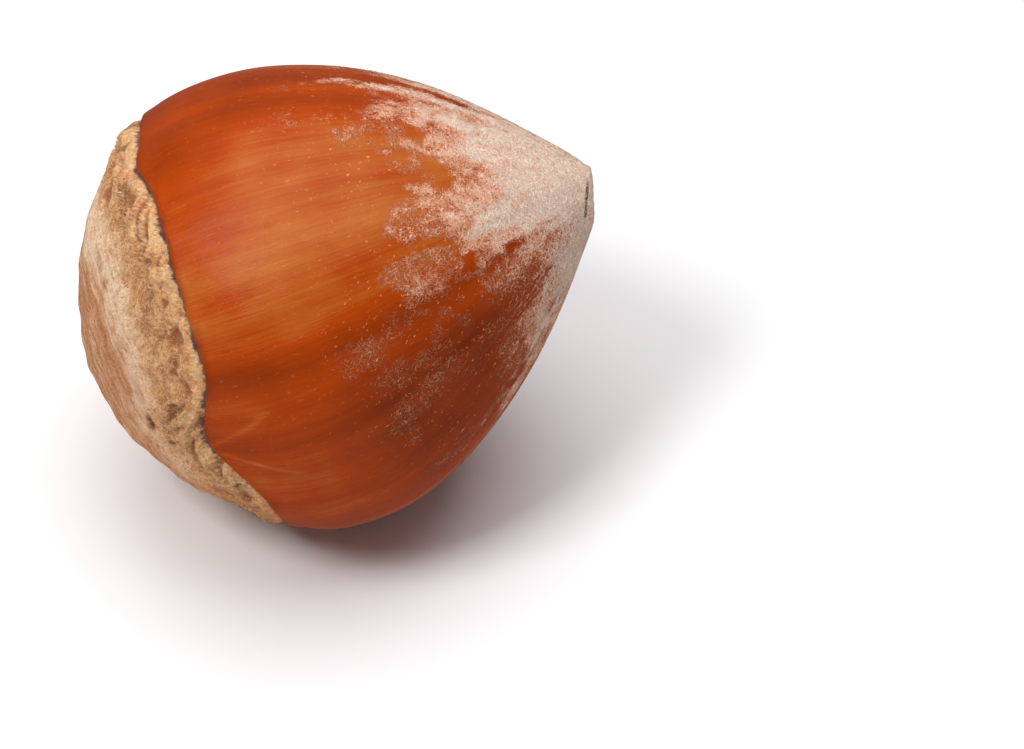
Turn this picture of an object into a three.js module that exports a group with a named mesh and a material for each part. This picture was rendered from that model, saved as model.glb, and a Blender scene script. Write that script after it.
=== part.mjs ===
// A whole hazelnut in its shell, lying on its side: one closed solid, in millimetres, +Z up.
// Its long axis runs from the rough base scar at -X to the blunt tip at +X, which is raised.
// A place on the skin is given by the distance from the base pole along the outline, and by an
// angle round the long axis: 0 is on top, 90 degrees faces -Y.

import * as THREE from 'three';

// Driving dimensions
const NUT_LENGTH = 21.5; // from the base pole to the blunt tip
const NUT_WIDTH = 18.9; // across the widest part
const NUT_DEPTH_SHARE = 0.97; // thickness of the slightly flattened nut, as a share of its width
const TIP_RAISE = THREE.MathUtils.degToRad(21); // how far the long axis points up
const REST_DEPTH = 0.3; // height of the cap that is worn flat where the nut rests

// Outline from the base pole to the tip: share of the length, share of half the width
const OUTLINE = [
  [0, 0],
  [0.015, 0.238],
  [0.05, 0.432],
  [0.118, 0.668],
  [0.191, 0.82],
  [0.256, 0.926],
  [0.321, 0.984],
  [0.4, 1],
  [0.488, 0.978],
  [0.581, 0.908],
  [0.674, 0.8],
  [0.767, 0.65],
  [0.86, 0.456],
  [0.934, 0.275],
  [0.99, 0.122],
  [1.02, 0],
];

// The section is widest across this angle
const WIDE_ANGLE = THREE.MathUtils.degToRad(-42.5);
// Leans towards that angle: distance from the base pole along the long axis, half width, shift
const LEANS = [
  [2.4, 3.2, 0.42],
  [11, 4, -0.13],
];

// Edge of the shell round the base scar: distance from the base pole along the long axis
const SCAR_EDGE = 5.45;
const SCAR_EDGE_TILT = 0.45; // how much further from the base pole it lies on its high side
const SCAR_EDGE_HIGH_ANGLE = 15; // degrees
// Tongues of shell that run on over the scar: angle and half width in degrees, length in mm
const SHELL_TONGUES = [
  [77, 15, 1.2],
  [15, 14, -0.15],
  [-7, 8, 0.35],
  [172, 11, 0.35],
  [207, 14, 0.5],
  [255, 21, 0.9],
  [300, 9, 0.3],
];

// Relief beside the shell's edge: distance from the edge (minus is scar), half width, height
const EDGE_RELIEF = [
  [0.22, 0.3, 0.05],
  [-0.14, 0.16, -0.14],
];
// The scar's lumpy rim and the trough behind it, in the same way
const RIM_RELIEF = [
  [-0.8, 0.5, 0.16],
  [-2.3, 1, -0.16],
];
// How much of the rim stands up goes round the nut in waves: number of waves, shift
const RIM_WAVES = [
  [5, 0.8],
  [13, 2.3],
  [22, 4.4],
];
const RIM_GONE = -2; // sum of those waves at which the rim is level, and at which it is full
const RIM_FULL = 1.6;
const SCAR_START = [0.1, 0.8]; // distance from the edge over which the scar's lumps set in

// Lumps on the scar: height, radians per mm and shift upwards, then aside and along
const LUMP_WAVES = [
  { height: 0.06, up: 1.4, upShift: 0, aside: 1.2, along: 0.5, asideShift: 1 },
  { height: 0.04, up: 3.9, upShift: -1.2, aside: 3.4, along: 1.6, asideShift: 0.5 },
];
// Lengthwise ribs of the shell: number round the nut, shift, height
const RIB_WAVES = [
  [9, 0.6, 0.035],
  [16, 2.1, 0.021],
  [27, 4, 0.014],
];
const RIB_START = [0.1, 2]; // distance from the edge over which the ribs set in
const RIB_END = [1, 9]; // distance from the tip over which they die out

// The blunt tip is cut by a plane through a point beside the long axis
const TIP_CUT_ALONG = 21.3;
const TIP_CUT_ASIDE = 0.6;
const TIP_CUT_LEAN = THREE.MathUtils.degToRad(18);

// Facets, with rows that lie closer together towards the scar's edge
const ROUND_STEPS = 88;
const SCAR_STEPS = 15;
const SHELL_STEPS = 31;
const SCAR_CROWDING = 1.6;
const SHELL_CROWDING = 1.35;

const SHELL_COLOUR = 0xb4561c;
const SHELL_ROUGHNESS = 0.4;

const OUTLINE_SAMPLES = 600;

// The outline and its mirror image make one smooth closed curve, read from pole to pole
function makeOutline() {
  const there = OUTLINE.map(([along, out]) => [along * NUT_LENGTH, (out * NUT_WIDTH) / 2]);
  const back = there.slice(1, -1).reverse().map(([along, out]) => [along, -out]);
  const points = [...there, ...back].map(([along, out]) => new THREE.Vector3(along, out, 0));
  const curve = new THREE.CatmullRomCurve3(points, true, 'centripetal');
  curve.arcLengthDivisions = 2 * OUTLINE_SAMPLES;
  return curve;
}

const outline = makeOutline();
const skinLength = outline.getLength() / 2;

// Place and outward normal on the outline, at a distance along the skin from the base pole
function outlineAt(distance) {
  const part = THREE.MathUtils.clamp(distance / skinLength, 0, 1) / 2;
  const place = outline.getPointAt(part);
  const way = outline.getTangentAt(part);
  return { along: place.x, out: Math.max(place.y, 0), normalAlong: -way.y, normalOut: way.x };
}

// Distance along the skin at which the outline reaches a distance along the long axis
function skinDistance(along) {
  let low = 0;
  let high = skinLength;
  for (let step = 0; step < 40; step += 1) {
    const middle = (low + high) / 2;
    if (outlineAt(middle).along < along) {
      low = middle;
    } else {
      high = middle;
    }
  }
  return (low + high) / 2;
}

function bell(offset, halfWidth) {
  return Math.exp(-((offset / halfWidth) ** 2));
}

// Difference of two angles in degrees, between -180 and 180
function turnBetween(angle, other) {
  return ((((angle - other) % 360) + 540) % 360) - 180;
}

// The wavy edge between scar and shell, as a distance along the skin
function edgeDistance(angle) {
  const degrees = THREE.MathUtils.radToDeg(angle);
  const tilt = THREE.MathUtils.degToRad(degrees - SCAR_EDGE_HIGH_ANGLE);
  let along = SCAR_EDGE + SCAR_EDGE_TILT * Math.cos(tilt);
  for (const [centre, halfWidth, length] of SHELL_TONGUES) {
    along -= length * bell(turnBetween(degrees, centre), halfWidth);
  }
  return skinDistance(along);
}

// Lumps are laid over the scar by place, so that they don't crowd together at the pole
function scarLumps(along, high, aside) {
  let height = 0;
  for (const wave of LUMP_WAVES) {
    const upward = Math.sin(wave.up * high + wave.upShift);
    height += wave.height * upward * Math.sin(wave.aside * aside + wave.along * along + wave.asideShift);
  }
  return height;
}

// How much of the scar's rim stands up at an angle, between 0 and 1
function rimShare(angle) {
  let swell = 0;
  for (const [count, shift] of RIM_WAVES) {
    swell += Math.sin(count * angle + shift);
  }
  return THREE.MathUtils.smoothstep(swell, RIM_GONE, RIM_FULL);
}

function shellRibs(angle) {
  let height = 0;
  for (const [count, shift, rise] of RIB_WAVES) {
    height += rise * Math.cos(count * angle + shift);
  }
  return height;
}

// Height of the skin over the smooth outline, at a spot of it
function relief(spot, distance, angle, edge) {
  const beside = distance - edge;
  let height = 0;
  for (const [centre, halfWidth, rise] of EDGE_RELIEF) {
    height += rise * bell(beside - centre, halfWidth);
  }
  for (const [centre, halfWidth, rise] of RIM_RELIEF) {
    height += rise * bell(beside - centre, halfWidth) * rimShare(angle);
  }
  const onScar = THREE.MathUtils.smoothstep(-beside, ...SCAR_START);
  const high = spot.out * Math.cos(angle);
  const aside = spot.out * Math.sin(angle);
  height += scarLumps(spot.along, high, aside) * onScar;
  const onShell = THREE.MathUtils.smoothstep(beside, ...RIB_START);
  const beforeTip = THREE.MathUtils.smoothstep(skinLength - distance, ...RIB_END);
  return height + shellRibs(angle) * onShell * beforeTip;
}

const longAxis = new THREE.Vector3(Math.cos(TIP_RAISE), 0, Math.sin(TIP_RAISE));
const upAcross = new THREE.Vector3(-Math.sin(TIP_RAISE), 0, Math.cos(TIP_RAISE));
const sideAcross = new THREE.Vector3(0, -1, 0);

function across(angle) {
  const side = sideAcross.clone().multiplyScalar(Math.sin(angle));
  return upAcross.clone().multiplyScalar(Math.cos(angle)).add(side);
}

const tipCutNormal = longAxis
  .clone()
  .multiplyScalar(Math.cos(TIP_CUT_LEAN))
  .addScaledVector(across(WIDE_ANGLE), -Math.sin(TIP_CUT_LEAN));
const tipCutPoint = longAxis
  .clone()
  .multiplyScalar(TIP_CUT_ALONG)
  .addScaledVector(across(WIDE_ANGLE), -TIP_CUT_ASIDE);

// A point of the skin, with the base pole at the origin
function skinPoint(distance, angle, edge) {
  const spot = outlineAt(distance);
  const rise = relief(spot, distance, angle, edge);
  const flatness = (1 - NUT_DEPTH_SHARE) / 2;
  const squeeze = 1 - flatness * (1 - Math.cos(2 * (angle - WIDE_ANGLE)));
  let lean = 0;
  for (const [centre, halfWidth, shift] of LEANS) {
    lean += shift * bell(spot.along - centre, halfWidth);
  }
  const point = longAxis
    .clone()
    .multiplyScalar(spot.along + spot.normalAlong * rise)
    .addScaledVector(across(angle), spot.out * squeeze + spot.normalOut * rise)
    .addScaledVector(across(WIDE_ANGLE), (lean * spot.out * 2) / NUT_WIDTH);
  const past = point.clone().sub(tipCutPoint).dot(tipCutNormal);
  return point.addScaledVector(tipCutNormal, -Math.max(past, 0));
}

// Distance along the skin of a row of points, from the base pole over the edge to the tip
function rowDistance(row, edge) {
  if (row <= SCAR_STEPS) {
    return edge * (1 - (1 - row / SCAR_STEPS) ** SCAR_CROWDING);
  }
  const share = (row - SCAR_STEPS) / SHELL_STEPS;
  return edge + (skinLength - edge) * share ** SHELL_CROWDING;
}

// Rings of points round the axis between the two poles
function makeNutGeometry() {
  const rows = SCAR_STEPS + SHELL_STEPS;
  const points = [skinPoint(0, 0, edgeDistance(0))];
  for (let row = 1; row < rows; row += 1) {
    for (let step = 0; step < ROUND_STEPS; step += 1) {
      const angle = (2 * Math.PI * step) / ROUND_STEPS;
      const edge = edgeDistance(angle);
      points.push(skinPoint(rowDistance(row, edge), angle, edge));
    }
  }
  points.push(skinPoint(skinLength, 0, edgeDistance(0)));

  const faces = [];
  const at = (row, step) => 1 + (row - 1) * ROUND_STEPS + (step % ROUND_STEPS);
  for (let step = 0; step < ROUND_STEPS; step += 1) {
    faces.push(0, at(1, step + 1), at(1, step));
    faces.push(points.length - 1, at(rows - 1, step), at(rows - 1, step + 1));
    for (let row = 1; row < rows - 1; row += 1) {
      faces.push(at(row, step), at(row + 1, step + 1), at(row + 1, step));
      faces.push(at(row, step), at(row, step + 1), at(row + 1, step + 1));
    }
  }
  settle(points);

  const geometry = new THREE.BufferGeometry().setFromPoints(points);
  geometry.setIndex(faces);
  geometry.computeVertexNormals();
  return geometry;
}

// Lowers the nut onto its flat spot, with the origin under the middle of its box
function settle(points) {
  const lowest = Math.min(...points.map((point) => point.z));
  for (const point of points) {
    point.z = Math.max(point.z - lowest - REST_DEPTH, 0);
  }
  const box = new THREE.Box3().setFromPoints(points);
  const middle = box.getCenter(new THREE.Vector3());
  for (const point of points) {
    point.x -= middle.x;
    point.y -= middle.y;
  }
}

const nut = new THREE.Mesh(
  makeNutGeometry(),
  new THREE.MeshStandardMaterial({ color: SHELL_COLOUR, roughness: SHELL_ROUGHNESS, metalness: 0 }),
);
nut.name = 'nut';

const hazelnut = new THREE.Group();
hazelnut.add(nut);

export default hazelnut;
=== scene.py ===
# A whole hazelnut in its shell: the skin with its scar and tip, the down and the scar's fibres.
# Lengths are in millimetres until a mesh is written. A place on the skin is given by the distance
# from the base pole along the outline and by the angle round the long axis, where 0 is on top
# and 90 degrees faces -Y.

import math

import bpy
import numpy as np
from mathutils import Matrix, Vector


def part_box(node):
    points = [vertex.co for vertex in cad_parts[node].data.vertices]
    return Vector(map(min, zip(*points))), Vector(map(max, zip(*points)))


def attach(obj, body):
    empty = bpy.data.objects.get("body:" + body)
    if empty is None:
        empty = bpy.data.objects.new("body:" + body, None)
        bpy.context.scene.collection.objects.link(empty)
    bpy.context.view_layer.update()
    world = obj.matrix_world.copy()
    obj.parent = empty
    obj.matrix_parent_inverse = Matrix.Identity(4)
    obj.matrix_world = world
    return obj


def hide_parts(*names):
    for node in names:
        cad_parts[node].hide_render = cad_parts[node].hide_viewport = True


bl_info = {
    "name": "Hazelnut",
    "version": (1, 0, 0),
    "blender": (4, 5, 0),
    "location": "View3D > Sidebar > Hazelnut",
    "description": "Dresses a hazelnut's frame with its skin, down and fibres",
    "category": "Object",
}

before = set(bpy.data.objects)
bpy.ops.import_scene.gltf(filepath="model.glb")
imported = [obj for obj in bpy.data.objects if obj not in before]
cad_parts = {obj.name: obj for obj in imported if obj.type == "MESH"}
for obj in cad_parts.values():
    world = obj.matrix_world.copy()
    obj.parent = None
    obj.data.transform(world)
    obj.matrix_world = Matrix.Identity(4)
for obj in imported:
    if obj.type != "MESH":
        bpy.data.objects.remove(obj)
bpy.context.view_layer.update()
NUT_NODE = "nut"
BODY = "root"
NUT_LOW, NUT_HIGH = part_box(NUT_NODE)
SETTLED = {}  # what moves the skin's points to where the solid lies, once the skin is built

MM = 0.001
TAU = 2 * math.pi

# The nut's own sizes, as in its solid. The outline gives places along the axis as shares of the
# length, and how far the skin lies from the axis there as shares of half the width.
NUT_LENGTH = 21.5
NUT_WIDTH = 18.9
NUT_DEPTH_SHARE = 0.97
TIP_RAISE = math.radians(21)
OUTLINE = [
    (0, 0),
    (0.015, 0.238),
    (0.05, 0.432),
    (0.118, 0.668),
    (0.191, 0.82),
    (0.256, 0.926),
    (0.321, 0.984),
    (0.4, 1),
    (0.488, 0.978),
    (0.581, 0.908),
    (0.674, 0.8),
    (0.767, 0.65),
    (0.86, 0.456),
    (0.934, 0.275),
    (0.99, 0.122),
    (1.02, 0),
]
OUTLINE_STEPS = 60  # fine steps between two of those points
WIDE_ANGLE = math.radians(-42.5)
LEANS = [(2.4, 3.2, 0.42), (11, 4, -0.13)]  # place along, half width and shift to the wide side

# The edge between scar and shell, along the axis, and the tongues that the shell sends over it,
# as angle and half width in degrees and length
SCAR_EDGE = 5.45
SCAR_EDGE_TILT = 0.45
SCAR_EDGE_HIGH_ANGLE = 15
SHELL_TONGUES = [
    (77, 15, 1.2),
    (15, 14, -0.15),
    (-7, 8, 0.35),
    (172, 11, 0.35),
    (207, 14, 0.5),
    (255, 21, 0.9),
    (300, 9, 0.3),
]
# Relief beside that edge: distance from it, half width and height
EDGE_RELIEF = [(0.22, 0.3, 0.05), (-0.14, 0.16, -0.14)]
RIM_RELIEF = [(-0.8, 0.5, 0.16), (-2.3, 1, -0.16)]
RIM_WAVES = [(5, 0.8), (13, 2.3), (22, 4.4)]  # how many go round the nut, and their shift
RIM_GONE = -2
RIM_FULL = 1.6
SCAR_START = (0.1, 0.8)  # distances from the edge over which the scar's lumps rise

# The folds beside the scar's edge, how closely they lie round the nut and how long they are
FOLD_HEIGHT = 0.22
FOLDS_ROUND = 8
FOLD_LENGTH = 2.4
FOLD_FROM_EDGE = 1.15
FOLD_TURN = 0.14  # radians for each mm across the edge
# Height, shift and size of the scar's bumps and of its grain
SCAR_BUMPS = [(0.05, 0, 0.9), (0.035, 7, 0.42)]
SCAR_GRAIN = (0.03, 3, 0.24)
# Wobble of the edge between scar and shell: how far, shift and size
EDGE_WOBBLE = [(0.09, 0, 0.8), (0.08, 2, 0.38), (0.04, 6, 0.2)]
FLUSH = (-34, 20)  # where the scar lies nearly level with the shell: angle and half width
FLUSH_HEIGHT = 0.12
# The shell's lip and the groove beside it: height or depth, distance from the edge, half width
FINE_LIP = (0.02, 0.1, 0.12)
FINE_GROOVE = (0.05, -0.1, 0.09)
SHELL_LINES = (0.006, 40, 5)  # height, how closely they lie round the nut and how long they are
SHELL_SWELL = (0.02, 3.5)  # height and size
# Lumps of the scar: height, radians per mm and shift upwards, radians per mm aside and along,
# and shift
LUMP_WAVES = [(0.06, 1.4, 0, 1.2, 0.5, 1), (0.04, 3.9, -1.2, 3.4, 1.6, 0.5)]
# Ribs of the shell: how many go round, shift and height, then where they rise and where they fade
RIB_WAVES = [(9, 0.6, 0.035), (16, 2.1, 0.021), (27, 4, 0.014)]
RIB_START = (0.1, 2)
RIB_END = (1, 9)
TIP_CUT_ALONG = 21.3
TIP_CUT_ASIDE = 0.6
TIP_CUT_LEAN = math.radians(18)
TIP_CUT_KEEP = 0.96  # the cut face stays very slightly domed
TIP_CUT_LUMPS = 0.05

# The crack round the tip: how far it lies before the cut face, and how much further on one side
TIP_CRACK_BEFORE = 0.05
TIP_CRACK_TILT = 0.2
TIP_CRACK_NEAR_ANGLE = math.radians(20)
TIP_CRACK_DEPTH = 0.03
TIP_CRACK_WIDTH = 0.075
TIP_CRACK_OPEN = [(68, 40, 1), (-48, 18, 1), (205, 22, 0.8)]  # angle, half width and share

LONG_AXIS = np.array([math.cos(TIP_RAISE), 0, math.sin(TIP_RAISE)])
UP_ACROSS = np.array([-math.sin(TIP_RAISE), 0, math.cos(TIP_RAISE)])
SIDE_ACROSS = np.array([0, -1.0, 0])

# The fine skin's points: how many round and along, and how they crowd at the edge and the tip
ROUND_STEPS = 400
SCAR_STEPS = 84
SHELL_STEPS = 154
SCAR_CROWDING = 1.35
SHELL_CROWDING = 1.2
TIP_CROWDING = 1.5

# Pits in the scar: angle in degrees, distance along the long axis, width and depth
SCAR_PITS = [
    (75.6, 2.15, 0.24, 0.2),
    (78.5, 2.2, 0.13, 0.14),
    (84.5, 2.62, 0.17, 0.16),
    (90.5, 3.05, 0.12, 0.1),
    (97.2, 4.6, 0.19, 0.16),
    (109.3, 4.75, 0.2, 0.16),
]
# Shallow hollows with a redder ground, given alike; their darker colour is partly painted shade
SCAR_HOLLOWS = [
    (3.5, 5.12, 0.24, 0.16),
    (9, 5.34, 0.22, 0.2),
    (22.5, 5.0, 0.17, 0.08),
    (30, 5.3, 0.17, 0.08),
    (35.5, 5.13, 0.2, 0.1),
    (44.5, 5.1, 0.36, 0.26),
    (52, 4.55, 0.26, 0.18),
    (54.5, 4.35, 0.2, 0.1),
    (59.5, 4.7, 0.32, 0.28),
    (75.6, 2.2, 0.36, 0.05),
    (104, 4.7, 0.24, 0.08),
]
MORE_PITS = 16  # of each kind, on the sides that lie away from those
HOLLOW_STRETCH = 0.7  # how much longer they are on the slant than across it
HOLLOW_TEAR = 0.16  # how far their outlines are torn
HOLLOW_TEAR_SIZE = 0.34

# Faint pale lines on the shell: angle and distance along at both ends, width, how much lighter
SHELL_MARKS = [
    (78.6, 4.6, 69.5, 7.3, 0.11, 0.4),
    (81, 4.6, 84.5, 6, 0.1, 0.35),
    (84.5, 6, 89.7, 7.5, 0.1, 0.3),
]
# Darker parts of the shell: angle and half width, distance along and half length, share. The
# first two are partly the shell's own darker brown and partly a painted shadow, as cast by a
# second nut lying beside this one; the last darkens the shell below the painted sheen of the
# lighter bands.
SHELL_DARK_PATCHES_AND_SHADOW = [
    (90, 21, 13.4, 3.8, 0.44),
    (84, 8, 16.4, 1.2, 0.12),
    (80, 20, 8, 5, 0.05),
    (10, 16, 7, 2.2, 0.2),
]
SCAR_TINT = (117, 11)  # where the scar is smooth and more orange: angle and half width
SCAR_PLAIN = (117, 16.5)  # where it is not crumpled, likewise
LOW_DOME = (88, 28)  # where the middle of the scar is a little more orange
LOW_DOME_TINT = 0.4
PALE_BAND = (5, 50)  # where the scar's pale band shows most

# Down on the shell: distance along the axis over which it closes, and how much further it reaches
# near some angles, as angle and half width in degrees and mm towards the base
DOWN_START = (13.5, 20.4)
DOWN_REACHES = [
    (-41, 6.5, 2.4),
    (-31, 3, -1.5),
    (-25, 3.5, 2.3),
    (-16, 3, -0.4),
    (-7, 5, 0.9),
    (10, 3.5, 0.9),
    (20, 5, -0.7),
    (38, 7, 0.4),
    (51, 4, 0.4),
    (62, 5, -0.9),
    (79, 11, -1.7),
    (95, 9, -0.5),
]
# Patches of down and of bare shell: angle and half width, distance along and half length, share
DOWN_PATCHES = [
    (5, 4, 13.7, 0.5, 0.4),
    (0, 4, 14.7, 0.6, 0.25),
    (-24.5, 3, 14, 1, 0.3),
    (-4.5, 3.2, 12.7, 2.1, 0.27),
    (-20, 3, 12.1, 0.8, 0.27),
    (25, 2.5, 15.8, 0.4, 0.45),
    (33, 4, 14.9, 0.6, 0.25),
    (40, 4.5, 14.9, 0.9, 0.35),
    (50, 3, 14.1, 0.9, 0.3),
    (55.5, 3.5, 14.6, 0.7, 0.35),
    (76, 16, 13.7, 2.6, 0.3),
    (-13, 7, 15.8, 1.1, 0.3),
    (3, 6, 15.9, 0.8, 0.2),
    (87, 4, 12.4, 2.4, 0.12),
    (92, 6, 12.3, 0.9, 0.14),
    (66, 8, 11, 1.6, 0.1),
    (46, 14, 12, 2.6, 0.08),
]
BARE_PATCHES = [
    (-33, 4, 17.4, 0.6, 0.35),
    (-15, 5, 15.9, 0.4, 0.12),
    (-8, 3, 17, 0.25, 0.45),
    (3, 4, 16.3, 0.3, 0.45),
    (21, 7, 16.65, 0.3, 0.8),
    (22, 3.5, 18.5, 0.25, 0.45),
    (44.5, 1.8, 15.7, 0.7, 0.4),
    (56, 4, 16.8, 0.3, 0.5),
    (60.5, 2.6, 18.3, 0.35, 0.75),
    (67, 6, 16.3, 0.5, 0.25),
    (79, 3.5, 18.4, 0.6, 0.15),
    (89, 2, 18.8, 0.4, 0.5),
    (56, 7, 19.6, 0.14, 0.45),
    (72, 5, 19.5, 0.3, 0.55),
    (86, 0.8, 17.6, 0.9, 1.3),
    (90, 0.7, 17.3, 0.8, 1.3),
    (93, 0.7, 18.2, 0.6, 1.1),
]
# Ragged edges of the down: size of a fleck in mm, how much it changes the cover
DOWN_FLECKS = [(0.8, 0.22), (0.42, 0.3), (0.22, 0.3)]
# Lengthwise streaks in the down, likewise, then how closely they lie and how long they are
DOWN_STREAKS = (0.4, 0.25)
STREAK_SHAPE = (7, 5)
DOWN_CLOSED = 1.35  # cover of the closed felt
# The down's browning there is partly a painted shadow, as cast by a second nut lying beside this
# one
DOWN_DULL = (82, 24)  # where the down is sparse, even and browner: angle and half width
HIDDEN_FROM = 104  # degrees: patches are drawn at random from here on, right round
HIDDEN_TO = 312

# Bands of the shell's colour: angle and half width in degrees, how much lighter. The lighter
# bands at 6, 18 and 33 degrees lie where the lights' sheen falls and are partly painted sheen.
SHELL_BANDS_AND_SHEEN = [
    (-28, 7, -0.32),
    (-13, 6, -0.28),
    (6, 6, 0.12),
    (18, 8, 0.25),
    (33, 6, 0.26),
    (47, 6, 0.14),
    (60, 4.5, -0.28),
    (80, 4, -0.2),
    (95, 8, 0.1),
    (116, 6, -0.12),
]

# The quarters of the down, each with the angles where it starts and ends
QUARTERS = (
    ("down_above", -85, 5),
    ("down_front", 5, 95),
    ("down_below", 95, 185),
    ("down_behind", 185, 275),
)
DOWN_FROM = 8  # along the axis: no hair lies nearer to the base
HAIR_JOINTS = 4  # short straight stretches of a hair
HAIR_REACH = (0.55, 1.25)  # shortest and longest, as shares of a hair's length
HAIR_WIDTHS = (0.7, 1.3)
HAIR_TAPER = 0.75
HAIR_TILT = 0.5  # how far a ribbon may turn out of the skin
# How high hairs and fibres lie, how much they bend and how far they turn aside, in radians
HAIR_LIE = {"lift": 0.01, "curl": 1.1, "lean": 1.6}
FIBRE_LIE = {"lift": 0.02, "curl": 1.2, "lean": 1.6}
FIBRE_SIZE = (0.17, 0.022)  # length and width
FIBRES_FROM = 3
FIBRES_TO = 10.2

SKIN_SEED = 11
PIT_SEED = 23
PATCH_SEED = 37
HAIR_SEED = 53
FIBRE_SEED = 71


def srgb(red, green, blue):
    """A colour given as on a screen, 0 to 255, in linear light."""
    shares = [value / 255 for value in (red, green, blue)]
    return tuple(v / 12.92 if v <= 0.04045 else ((v + 0.055) / 1.055) ** 2.4 for v in shares)


# Colours that go with those of the property groups
SPECK_COLOUR = srgb(240, 146, 84)
EDGE_SHADE_COLOUR = srgb(112, 40, 14)
DOME_SHADES = [(0.2, srgb(164, 98, 62)), (0.5, srgb(214, 150, 106)), (0.78, srgb(246, 206, 168))]
SCAR_BAND_COLOUR = srgb(254, 224, 192)
SCAR_RED_COLOUR = srgb(178, 108, 70)
SCAR_ORANGE_COLOUR = srgb(222, 138, 82)
SCAR_GRAIN_SHADES = [(0.32, (0.62, 0.5, 0.4)), (0.54, (1, 1, 1))]
# Painted light on the crests of the scar's folds and painted shade between them
FOLD_CREST_PAINTED_LIGHT = srgb(250, 212, 156)
FOLD_DEPTH_PAINTED_SHADE = srgb(146, 87, 56)
# The hollows' redder ground, darkened partly as painted shade
HOLLOW_GROUND_AND_SHADE = srgb(150, 80, 54)
# Painted shade in the scar's pits
PIT_PAINTED_SHADE = srgb(92, 56, 46)
POWDER_COLOUR = srgb(232, 156, 120)
# Browner powder where the down is dull, partly painted shadow
DULL_POWDER_AND_SHADOW_COLOUR = srgb(170, 90, 50)
LOOSE_DOWN_SHADES = [
    (0.3, srgb(208, 146, 116)),
    (0.5, srgb(234, 186, 160)),
    (0.68, srgb(250, 222, 202)),
]
MATTED_DOWN_SHADES = [
    (0.3, srgb(206, 168, 140)),
    (0.48, srgb(240, 214, 192)),
    (0.66, srgb(255, 244, 230)),
]
STAIN_COLOUR = srgb(178, 112, 84)
TIP_FACE_SHADES = [
    (0.34, srgb(196, 150, 122)),
    (0.46, srgb(240, 212, 190)),
    (0.62, srgb(255, 240, 226)),
]
TIP_CRACK_COLOUR = srgb(84, 60, 52)
HAIR_SHADOW_COLOUR = srgb(120, 70, 40)
HAIR_DARKEST = srgb(206, 118, 74)
FIBRE_DARKEST = srgb(170, 104, 58)
FIBRE_PALEST = srgb(250, 216, 170)

# Finishes
SHELL_SPECULAR = 0.125
MATT_ROUGHNESS = 0.92
FINE_BUMP_DEPTH = 0.045 * MM
HAIR_FINISH = {"Roughness": 0.75, "Specular IOR Level": 0.3}


def colour_property(name, description, default):
    return bpy.props.FloatVectorProperty(
        name=name, description=description, default=default, min=0, max=1, size=3, subtype="COLOR"
    )


def share_property(name, description, default, highest=2.0):
    return bpy.props.FloatProperty(
        name=name, description=description, default=default, min=0, max=highest, subtype="FACTOR"
    )


class HazelnutShell(bpy.types.PropertyGroup):
    """Colours and finish of the shell and the scar."""

    dark: colour_property("Dark streaks", "Colour of the darkest streaks", srgb(120, 40, 6))
    middle: colour_property("Shell", "Main colour of the shell", srgb(172, 63, 3))
    light: colour_property("Light streaks", "Colour of the lightest streaks", srgb(197, 124, 52))
    scar: colour_property("Scar", "Main colour of the scar", srgb(240, 180, 124))
    scar_dark: colour_property("Scar flecks", "Colour of its dark flecks", srgb(160, 98, 54))
    scar_pale: colour_property("Scar pale", "Colour of its palest band", srgb(252, 222, 178))
    crack: colour_property("Crack", "Colour of the crack round the scar", srgb(112, 76, 76))
    roughness: share_property("Roughness", "Roughness of the bare shell", 0.31, 1.0)
    relief: share_property("Relief", "Strength of the fine relief", 1.0)


class HazelnutDown(bpy.types.PropertyGroup):
    """Sizes and colours of the down near the tip."""

    length: bpy.props.FloatProperty(
        name="Length", description="Length of a hair", default=0.26 * MM, subtype="DISTANCE"
    )
    width: bpy.props.FloatProperty(
        name="Width", description="Width of a hair", default=0.024 * MM, subtype="DISTANCE"
    )
    density: bpy.props.FloatProperty(
        name="Density", description="Hairs on a square millimetre", default=230, min=0
    )
    tip: colour_property("At the tip", "Colour of the matted down", srgb(246, 229, 212))
    edge: colour_property("Far from the tip", "Colour of loose hairs", srgb(242, 184, 150))
    fibre: colour_property("Fibres", "Colour of the scar's fibres", srgb(234, 178, 118))
    fibre_density: bpy.props.FloatProperty(
        name="Fibre density", description="Fibres on a square millimetre", default=120, min=0
    )


def bell(offset, half_width):
    """1 at no offset, and smoothly less with it."""
    return np.exp(-((offset / half_width) ** 2))


def smoothstep(value, low, high):
    """Rises smoothly from 0 to 1 as value goes from low to high."""
    share = np.clip((value - low) / (high - low), 0, 1)
    return share * share * (3 - 2 * share)


def turn_between(angle, other):
    """Difference of two angles in degrees, between -180 and 180."""
    return (angle - other + 180) % 360 - 180


def near_angle(angle, spot):
    """How near an angle is to a spot's own, from 0 to 1; the spot is its angle and half width."""
    return bell(turn_between(np.degrees(angle), spot[0]), spot[1])


class Lattice:
    """Smooth noise between -1 and 1, from random numbers on a lattice that repeats."""

    SIZE = 48

    def __init__(self, seed):
        self.values = np.random.default_rng(seed).uniform(-1, 1, (self.SIZE,) * 3)

    def at(self, places, cell):
        spots = np.asarray(places) / cell
        floor = np.floor(spots).astype(int)
        part = spots - floor
        part = part * part * (3 - 2 * part)
        total = 0
        for corner in np.ndindex(2, 2, 2):
            weight = np.prod(np.where(corner, part, 1 - part), axis=-1)
            x, y, z = np.moveaxis((floor + corner) % self.SIZE, -1, 0)
            total = total + weight * self.values[x, y, z]
        return total


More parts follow.
